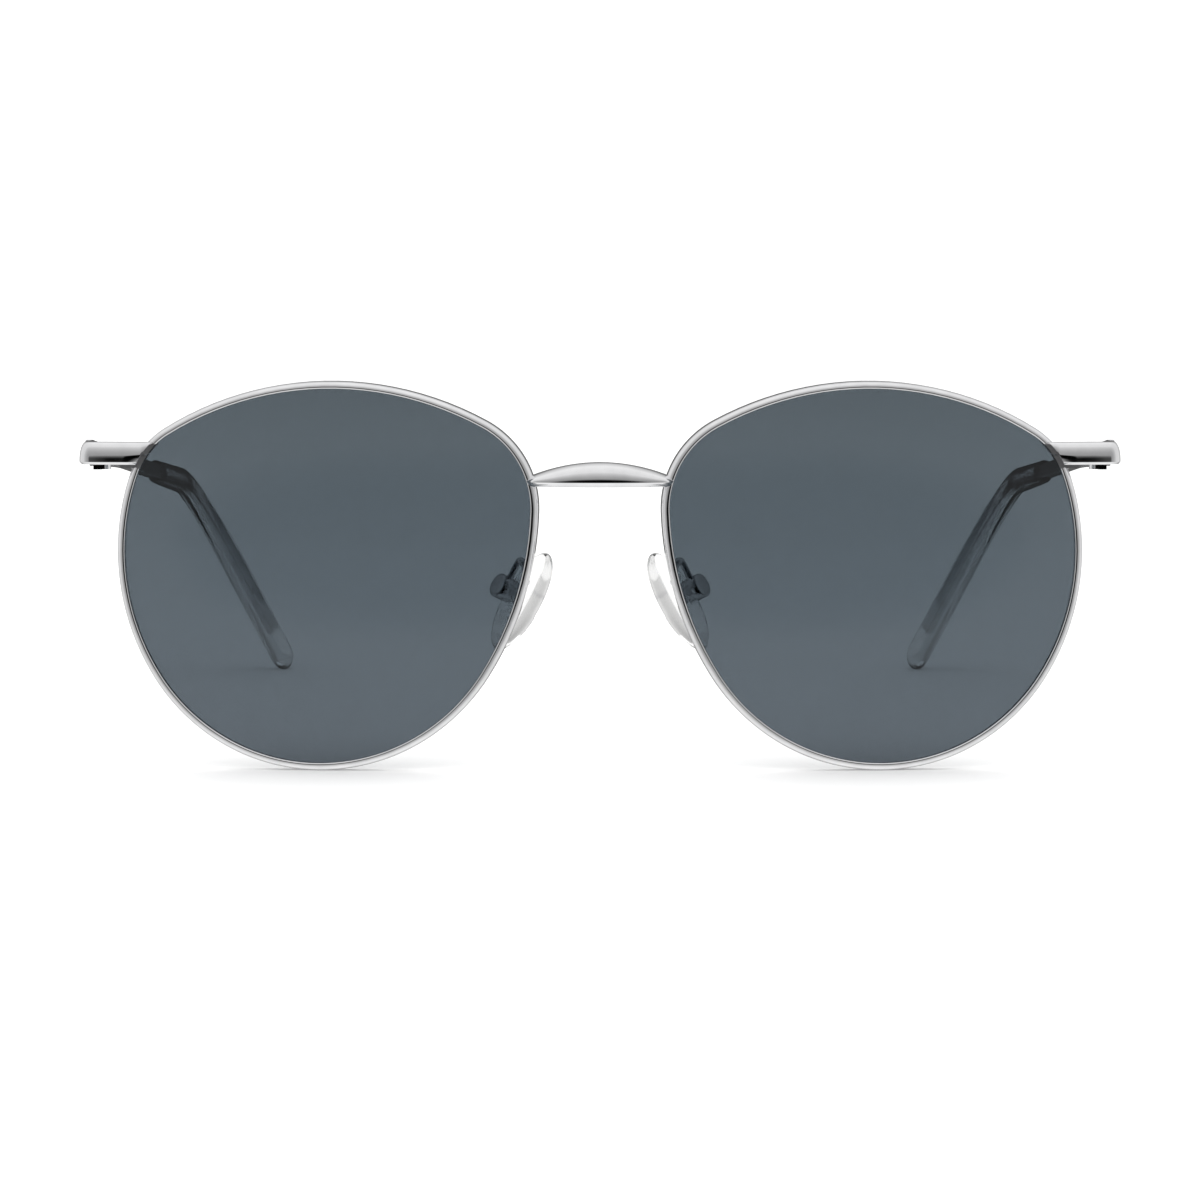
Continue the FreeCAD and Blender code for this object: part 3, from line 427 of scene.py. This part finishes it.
def make_temple_arm():
    """Flat bar at the hinge that thins to a round wire, then to the core inside the cover."""
    along = temple_directions()[0]
    shift = TEMPLE_INSET - FLAT_THICK / 2
    first = temple_point((JOINT + JOINT_GAP - FRONT - TEMPLE_SETBACK) / along.y) + Vector((shift, 0, 0))
    roundings = [(x, y, FLAT_ROUNDING, 3) for x in (1, -1) for y in (1, -1)]
    arm = bar_section("temple_bar_left", FLAT_THICK, BAR_HEIGHT, roundings, first, (90, 0, 0))
    draw_out(*(along * (FLAT_LENGTH + FLAT_BEFORE)))
    place = FLAT_LENGTH
    width, height = FLAT_THICK, BAR_HEIGHT
    for step in range(1, THINNING_STEPS + 1):
        ease = (1 - math.cos(math.pi * step / THINNING_STEPS)) / 2
        before = (1 - math.cos(math.pi * (step - 1) / THINNING_STEPS)) / 2
        draw_out(*(along * THINNING / THINNING_STEPS - Vector((shift * (ease - before), 0, 0))))
        place += THINNING / THINNING_STEPS
        wanted = (FLAT_THICK + WIDENS * ease, BAR_HEIGHT - LOWERS * ease)
        centre = temple_point(place) + Vector((shift * (1 - ease), 0, 0))
        resize_end((wanted[0] / width, 1, wanted[1] / height), centre)
        width, height = wanted
    draw_out(*(along * (COVER_START - 4 - place)))
    draw_out(*(along * 6 - Vector((CORE_INSET, 0, 0))))
    core = temple_point(COVER_START + 2) - Vector((CORE_INSET, 0, 0))
    resize_end((CORE_NARROWS, 1, CORE_LOWERS), core)
    draw_out(*(along * (TEMPLE_STRAIGHT - COVER_START - 2)))
    bend_round(BEND_ANGLE, 3.5)
    rest = CORE_END - TEMPLE_STRAIGHT - BEND_RADIUS * math.radians(BEND_ANGLE)
    draw_out(*(end_direction() * rest))
    return close_up(arm, soften=0.12, segments=3, limit=40)


def make_temple_cover():
    """Clear cover over the bent end: a tapered oval with softly rounded ends."""
    along = temple_directions()[0]
    mouth = temple_point(COVER_START)
    cover = round_section("temple_cover_left", COVER_WIDE, COVER_HIGH, mouth, (90, 0, 0))
    place = COVER_START
    for ahead, wide, high in COVER_MOUTH:
        draw_out(*(along * ahead))
        place += ahead
        resize_end((wide, 1, high), temple_point(place))
    ahead = (TEMPLE_STRAIGHT - place) / COVER_STEPS
    for _ in range(COVER_STEPS):
        draw_out(*(along * ahead))
        place += ahead
        resize_end(COVER_GROWTH, temple_point(place))
    angle = 0.0
    _, turn, axis = temple_directions()
    centre = temple_point(TEMPLE_STRAIGHT) + turn * BEND_RADIUS
    for _ in range(BEND_STEPS):
        bend_round(BEND_ANGLE / BEND_STEPS, BEND_ANGLE / BEND_STEPS)
        angle += BEND_ANGLE / BEND_STEPS
        middle = centre + Matrix.Rotation(math.radians(angle), 3, axis) @ (-turn * BEND_RADIUS)
        resize_end(BEND_GROWTH, middle)
    way = end_direction()
    rest = TEMPLE_LENGTH - TEMPLE_STRAIGHT - BEND_RADIUS * math.radians(BEND_ANGLE)
    draw_out(*(way * (rest - COVER_TIP)))
    share, reached = 1.0, 0.0
    for degrees in range(15, 90, 12):
        wanted, reach = math.cos(math.radians(degrees)), COVER_TIP * math.sin(math.radians(degrees))
        draw_out(*(way * (reach - reached)))
        resize_end((wanted / share,) * 3, middle + way * (rest - COVER_TIP + reach))
        share, reached = wanted, reach
    return close_up(cover, soften=0.0, limit=60)


# ---------------------------------------------------------------- nose pads

PAD_BOX = Vector((12.3, FRONT + 6.3, 23.43))
PAD_TILT, PAD_SPLAY = 29.5, 30.0
BOX_RADIUS, PAD_BACK, PAD_CENTRE, PAD_DROP = 1.6, 2.0, 3.1, 0.5
PAD_LONG, PAD_WIDE, PAD_DOME = 7.1, 4.0, 1.5
PAD_PARTING, PAD_FOOT = (1.006, 1.01, 1), (1, 1.06, 1)  # growth at the parting line, and of the lower part
BOX_DEPTH, BOX_BEHIND, BOX_WALL, BOX_HOLLOW = 2.5, 1.5, 0.5, 2.0
ARM_RADIUS = 0.45
ARM_START = ((9.5, 2.6, 24.4), (9.6, 3.9, 25.4), (9.8, 4.9, 26.8), (10.6, 5.8, 27.6))  # y from the front


def pad_axes():
    """Up the pad, across it to the rear, and towards the nose."""
    tilt, splay = math.radians(PAD_TILT), math.radians(PAD_SPLAY)
    up = Vector((-math.sin(tilt), 0, math.cos(tilt)))
    outward = Vector((math.cos(tilt), 0, math.sin(tilt)))
    across = Vector((0, 1, 0)) * math.cos(splay) + outward * math.sin(splay)
    return up, across, up.cross(across)


def pad_place(x=0.0, y=0.0, z=0.0):
    """Matrix that takes a piece made flat on the bench to the pad's place and tilt."""
    up, across, nose = pad_axes()
    matrix = Matrix((up, across, nose)).transposed().to_4x4()
    matrix.translation = (PAD_BOX + up * x + across * y + nose * z) * MM
    return matrix


def make_nose_pad():
    """Clear pad: a long oval, domed to the nose, flat behind, with a fine parting line."""
    clear_bench()
    bpy.ops.mesh.primitive_uv_sphere_add(segments=64, ring_count=36, radius=MM)
    pad = name_new("nose_pad_form_left")
    bpy.ops.object.mode_set(mode="EDIT")
    resize_end((PAD_LONG, PAD_WIDE, PAD_DOME), (0, 0, 0))
    flat = PAD_BACK - PAD_CENTRE
    pick(lambda at: at.z < flat)
    bpy.ops.transform.resize(value=(1, 1, 0), center_override=(0, 0, flat * MM))
    pick(lambda at: abs(at.z) < 0.02)
    resize_end(PAD_PARTING, (0, 0, 0))
    pick(lambda at: at.x < -1)
    resize_end(PAD_FOOT, (-1, 0, 0))
    set_down(pad, matrix=pad_place(-PAD_DROP, 0, PAD_CENTRE))
    return close_up(pad, soften=0.15, segments=3, limit=35)


def make_pad_box():
    """Round cup that holds the pad's metal insert."""
    clear_bench()
    bpy.ops.mesh.primitive_cylinder_add(vertices=48, radius=BOX_RADIUS * MM, depth=BOX_DEPTH * MM)
    cup = name_new("pad_cup_left")
    bpy.ops.object.mode_set(mode="EDIT")
    bpy.ops.transform.translate(value=(0, 0, (BOX_DEPTH / 2 - BOX_BEHIND) * MM))
    pick(lambda at: at.z > BOX_DEPTH - BOX_BEHIND - 0.01, "FACE")
    bpy.ops.mesh.inset(thickness=BOX_WALL * MM)
    draw_out(0, 0, -BOX_HOLLOW)
    bpy.ops.object.mode_set(mode="OBJECT")
    set_down(cup, matrix=pad_place())
    return close_up(cup, soften=0.13, segments=3, limit=40)


def make_pad_arm():
    """Wire brazed behind the eyewire, curled up and back to the side of the cup."""
    up, _, nose = pad_axes()
    end = PAD_BOX + up * (BOX_RADIUS - 0.4) - nose * 0.3
    base = Vector((0, FRONT, 0))
    route = [base + Vector(at) for at in ARM_START]
    route += [end + up * 1.5, end]
    clear_bench()
    bpy.ops.curve.primitive_nurbs_path_add()
    wire = bpy.context.object
    spline = wire.data.splines[0]
    spline.points.add(len(route) - len(spline.points))
    for point, at in zip(spline.points, route):
        point.co = (*(at * MM), 1)
    spline.order_u = 4
    spline.use_endpoint_u = True
    spline.resolution_u = 12
    wire.data.bevel_depth = ARM_RADIUS * MM
    wire.data.bevel_resolution = 6
    wire.data.use_fill_caps = True
    bpy.ops.object.convert(target="MESH")
    return close_up(name_new("pad_arm_wire_left"), soften=0.0, limit=60)


# ---------------------------------------------------------------- finishes

class Value:
    """A shader socket that takes part in sums; each sum adds its Math node."""

    def __init__(self, finish, socket):
        self.finish = finish
        self.socket = socket

    def sum_of(self, operation, first, second):
        return self.finish.add("ShaderNodeMath", {"operation": operation}, {0: first, 1: second})

    def __add__(self, other):
        return self.sum_of("ADD", self, other)

    def __sub__(self, other):
        return self.sum_of("SUBTRACT", self, other)

    def __rsub__(self, other):
        return self.sum_of("SUBTRACT", other, self)

    def __mul__(self, other):
        return self.sum_of("MULTIPLY", self, other)

    __radd__ = __add__
    __rmul__ = __mul__

    def beside(self, output):
        """Another output of the node this one comes from."""
        return Value(self.finish, self.socket.node.outputs[output])


class Finish:
    """A node tree with a single way to add nodes to it."""

    def __init__(self, tree):
        self.tree = tree
        tree.nodes.clear()

    def add(self, kind, settings=None, inputs=None, output=0):
        """Adds a node with its settings and inputs, and hands back one of its outputs."""
        node = self.tree.nodes.new(kind)
        for name, value in (settings or {}).items():
            if name == "stops":
                self.set_stops(node.color_ramp, value)
            else:
                setattr(node, name, value)
        for name, value in (inputs or {}).items():
            if isinstance(value, Value):
                self.tree.links.new(value.socket, node.inputs[name])
            else:
                node.inputs[name].default_value = value
        return Value(self, node.outputs[output]) if len(node.outputs) else None

    def set_stops(self, ramp, stops):
        """Sets a ramp's greys, each at its place."""
        while len(ramp.elements) < len(stops):
            ramp.elements.new(0.5)
        for element, (place, grey) in zip(ramp.elements, stops):
            element.position = place
            element.color = (grey, grey, grey, 1)

    def place(self, *stretch):
        """The piece's own coordinates, in millimetres, stretched along each axis."""
        coordinates = self.add("ShaderNodeTexCoord", output="Object")
        scale = [each / MM for each in (stretch or (1, 1, 1))]
        return self.add("ShaderNodeMapping", {}, {"Vector": coordinates, "Scale": scale})

    def noise(self, scale, detail, *stretch):
        """Unevenness with so many waves to the millimetre, before it is stretched."""
        return self.add("ShaderNodeTexNoise", {}, {"Vector": self.place(*stretch), "Scale": scale,
                                                   "Detail": detail}, output="Fac")

    def spread(self, value, low, high):
        """A grey value's middle stretched out to 0 and 1."""
        return self.add("ShaderNodeMapRange", {"clamp": True},
                        {"Value": value, "From Min": low, "From Max": high}, output="Result")

    def blend(self, share, first, second):
        """From the first colour to the second as the share goes from 0 to 1."""
        return self.add("ShaderNodeMix", {"data_type": "RGBA"}, {0: share, 6: first, 7: second}, output=2)

    def bump(self, height, distance, strength):
        """Relief with its distance in millimetres."""
        return self.add("ShaderNodeBump", {}, {"Height": height, "Distance": distance * MM,
                                               "Strength": strength}, output="Normal")

    def surface(self, **inputs):
        """Ends the tree in one surface shader."""
        inputs = {name.replace("_", " "): value for name, value in inputs.items()}
        shader = self.add("ShaderNodeBsdfPrincipled", {}, inputs)
        self.add("ShaderNodeOutputMaterial", {}, {"Surface": shader})


def new_finish(name):
    """A new material and the tree to build its finish in."""
    material = bpy.data.materials.new(name)
    material.use_nodes = True
    return material, Finish(material.node_tree)


def polished_silver():
    """Bright plated wire with faint polishing lines, hairline scratches and a soft waviness."""
    material, finish = new_finish("polished_silver")
    haze = finish.spread(finish.noise(0.35, 3.0), 0.35, 0.7)
    hairlines = finish.spread(finish.noise(1.0, 4.0, 0.5, 6, 9), 0.62, 0.72)
    colour = finish.blend(haze, (0.86, 0.86, 0.87, 1), (0.79, 0.79, 0.80, 1))
    waviness = finish.noise(0.5, 1.0)
    finish.surface(Base_Color=colour, Metallic=1.0, Roughness=0.035 + haze * 0.03 + hairlines * 0.05,
                   Normal=finish.bump(waviness + hairlines * 0.02, 0.02, 0.25))
    return material


def turned_steel():
    """Small screws and hinge parts: turned steel, darker in its pores."""
    material, finish = new_finish("turned_steel")
    grain = finish.noise(1.0, 5.0, 9, 9, 1)
    blotch = finish.spread(finish.noise(0.8, 2.0), 0.4, 0.7)
    colour = finish.blend(blotch, (0.70, 0.70, 0.71, 1), (0.58, 0.58, 0.60, 1))
    finish.surface(Base_Color=colour, Metallic=1.0, Roughness=0.18 + grain * 0.14,
                   Normal=finish.bump(grain, 0.015, 0.3))
    return material


def block_metal_painted_shade():
    """Closing blocks, coloured darker than the bars that cover them: painted shade and painted dark
    reflection of the recess behind the end pieces.
    """
    material, finish = new_finish("block_metal_painted_shade")
    grain = finish.noise(2.0, 4.0)
    # the dark greys are painted shade and painted dark reflection of the recess; only the grain's variation
    # is the metal's own
    colour = finish.blend(grain, (0.34, 0.34, 0.35, 1), (0.46, 0.46, 0.47, 1))
    finish.surface(Base_Color=colour, Metallic=1.0, Roughness=0.3 + grain * 0.15,
                   Normal=finish.bump(grain, 0.02, 0.3))
    return material


LENS_LOW = (0.083, 0.102, 0.120, 1)
LENS_HIGH = (0.075, 0.095, 0.110, 1)


def grey_blue_lens():
    """Grey-blue tint, a little deeper towards the top, with the faintest dust and smear."""
    material, finish = new_finish("grey_blue_lens")
    height = finish.add("ShaderNodeSeparateXYZ", {}, {0: finish.place()}, output="Z")
    depth = finish.spread(height, 2, 50)
    smear = finish.spread(finish.noise(0.12, 3.0), 0.45, 0.75)
    colour = finish.blend(depth, LENS_LOW, LENS_HIGH)
    finish.surface(Base_Color=colour, Transmission_Weight=1.0, IOR=1.5, Roughness=0.004 + smear * 0.012,
                   Normal=finish.bump(finish.noise(0.05, 1.0), 0.01, 0.05))
    return material


def clear_plastic(name, colour, streak, roughness, bending):
    """Cast clear plastic with faintly tinted streaks, flow waves and handling haze."""
    material, finish = new_finish(name)
    flow = finish.noise(0.25, 2.0)
    haze = finish.spread(finish.noise(1.4, 4.0), 0.4, 0.75)
    finish.surface(Base_Color=finish.blend(flow, colour, streak), Transmission_Weight=1.0, IOR=bending,
                   Roughness=roughness + haze * roughness * 0.6,
                   Normal=finish.bump(flow, 0.05, 0.25))
    return material


# ---------------------------------------------------------------- assembly

def lay_down(piece, body, nodes, material):
    """Gives a piece its finish and puts it on the body it moves with, over the nodes it stands for."""
    piece.data.materials.clear()
    piece.data.materials.append(material)
    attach(piece, body)
    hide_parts(*nodes)


def lay_pair(piece, body, node, material):
    """Puts down the left piece and its mirror twin."""
    twin = mirror_twin(piece, piece.name.replace("_left", "_right"))
    for each, side in ((piece, "left"), (twin, "right")):
        side_body = body if body == "front" else f"{body}_{side}"
        lay_down(each, side_body, [f"{node}_{side}"], material)


CLEAR = (0.95, 0.95, 0.94, 1)


def assemble():
    """Makes every piece, and gives the small hardware taken from the frame its metals."""
    silver, steel, block_painted_shade = polished_silver(), turned_steel(), block_metal_painted_shade()
    cover = clear_plastic("clear_cover", CLEAR, (0.91, 0.92, 0.92, 1), 0.03, 1.48)
    pad = clear_plastic("clear_pad", CLEAR, (0.93, 0.93, 0.93, 1), 0.06, 1.3)
    lay_pair(make_eyewire(), "front", "rim", silver)
    lay_pair(make_lens(), "front", "lens", grey_blue_lens())
    lay_pair(make_end_piece(), "front", "end_piece", silver)
    lay_pair(make_temple_arm(), "temple", "temple_arm", silver)
    lay_pair(make_temple_cover(), "temple", "temple_tip", cover)
    lay_pair(make_nose_pad(), "nose_pad", "nose_pad", pad)
    lay_pair(make_pad_box(), "front", "pad_box", silver)
    lay_pair(make_pad_arm(), "front", "pad_arm", silver)
    lay_down(make_bridge(), "front", ["bridge"], silver)
    # the closing blocks get the darker metal, painted shade and painted dark reflection of their recess
    finishes = {"closing_block": block_painted_shade, "closing_screw": steel, "hinge_front": silver, "hinge_temple": silver,
                "hinge_screw": steel, "pad_screw": steel, "pad_insert": steel}
    for name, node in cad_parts.items():
        for start, material in finishes.items():
            if name.startswith(start):
                node.data.materials.clear()
                node.data.materials.append(material)


# ---------------------------------------------------------------- studio

FLOOR_SIZE, FLOOR_LIGHT, FLOOR_DARK = 12, (0.94, 0.94, 0.94, 1), (0.92, 0.92, 0.92, 1)
TENT_WHITE = (1.15, 1.15, 1.15, 1)
SIDE_DARKENING = 0.235  # how much farther forward the metal seems to look, straight out to a side
LEVEL_LIGHT = 0.82  # the tent's light at eye level, as a share of its light overhead
# The tent from its open front, 0, to its back, 1, as polished metal shows it: place and grey
TENT_STOPS = [(0.0, 0.0), (0.005, 0.005), (0.012, 0.42), (0.06, 0.6), (0.16, 0.92), (0.5, 1.0), (0.78, 0.7),
              (0.93, 0.25), (1.0, 0.12)]
LAMP_HEIGHT, LAMP_SIZE, LAMP_WATTS = 1.4, 2.5, 14
VIEW_HEIGHT, VIEW_DISTANCE, VIEW_LENS, VIEW_CENTRE = 4.5, 0.5, 116.55, 22.45


def lay_floor():
    """Plain pale floor with the faintest unevenness."""
    clear_bench()
    bpy.ops.mesh.primitive_plane_add(size=FLOOR_SIZE)
    floor = name_new("studio_floor")
    material, finish = new_finish("pale_floor")
    tone = finish.noise(0.002, 2.0)
    finish.surface(Base_Color=finish.blend(tone, FLOOR_LIGHT, FLOOR_DARK), Roughness=0.9)
    floor.data.materials.append(material)
    floor.visible_glossy = False


def light_studio():
    """White tent all round; what polished metal shows of it darkens towards its open front and its back."""
    world = bpy.data.worlds.new("white_tent")
    bpy.context.scene.world = world
    world.use_nodes = True
    tent = Finish(world.node_tree)
    direction = tent.add("ShaderNodeTexCoord", output="Generated")
    sideways = tent.add("ShaderNodeSeparateXYZ", {}, {0: direction}, output="X")
    towards_back = sideways.beside("Y")
    upright = sideways.beside("Z")
    from_front = towards_back * 0.5 + 0.5 - sideways * sideways * SIDE_DARKENING
    mirrored = tent.add("ShaderNodeValToRGB", {"stops": TENT_STOPS}, {"Fac": from_front})
    dimmed = tent.blend(LEVEL_LIGHT + upright * upright * (1 - LEVEL_LIGHT), (0, 0, 0, 1), mirrored)
    reflections = tent.add("ShaderNodeLightPath", output="Glossy Depth")
    colour = tent.blend(reflections, TENT_WHITE, dimmed)
    background = tent.add("ShaderNodeBackground", {}, {"Color": colour, "Strength": 1.0})
    tent.add("ShaderNodeOutputWorld", {}, {"Surface": background})
    clear_bench()
    bpy.ops.object.light_add(type="AREA", location=(0, 0, LAMP_HEIGHT))
    lamp = bpy.context.object
    lamp.name = "overhead_softbox"
    lamp.data.size = LAMP_SIZE
    lamp.data.energy = LAMP_WATTS
    lamp.visible_glossy = False
    bpy.context.scene.view_settings.view_transform = "Standard"


def set_camera():
    """Straight on to the front, looking down at it a few degrees."""
    height = math.radians(VIEW_HEIGHT)
    target = Vector((0, FRONT * MM, VIEW_CENTRE * MM))
    away = Vector((0, -math.cos(height), math.sin(height)))
    turn = (math.pi / 2 - height, 0, 0)
    bpy.ops.object.camera_add(location=target + away * VIEW_DISTANCE, rotation=turn)
    camera = bpy.context.object
    camera.data.lens = VIEW_LENS
    camera.data.sensor_width = 36
    camera.data.clip_start = 0.01
    bpy.context.scene.camera = camera


assemble()
clear_bench()
lay_floor()
light_studio()
set_camera()
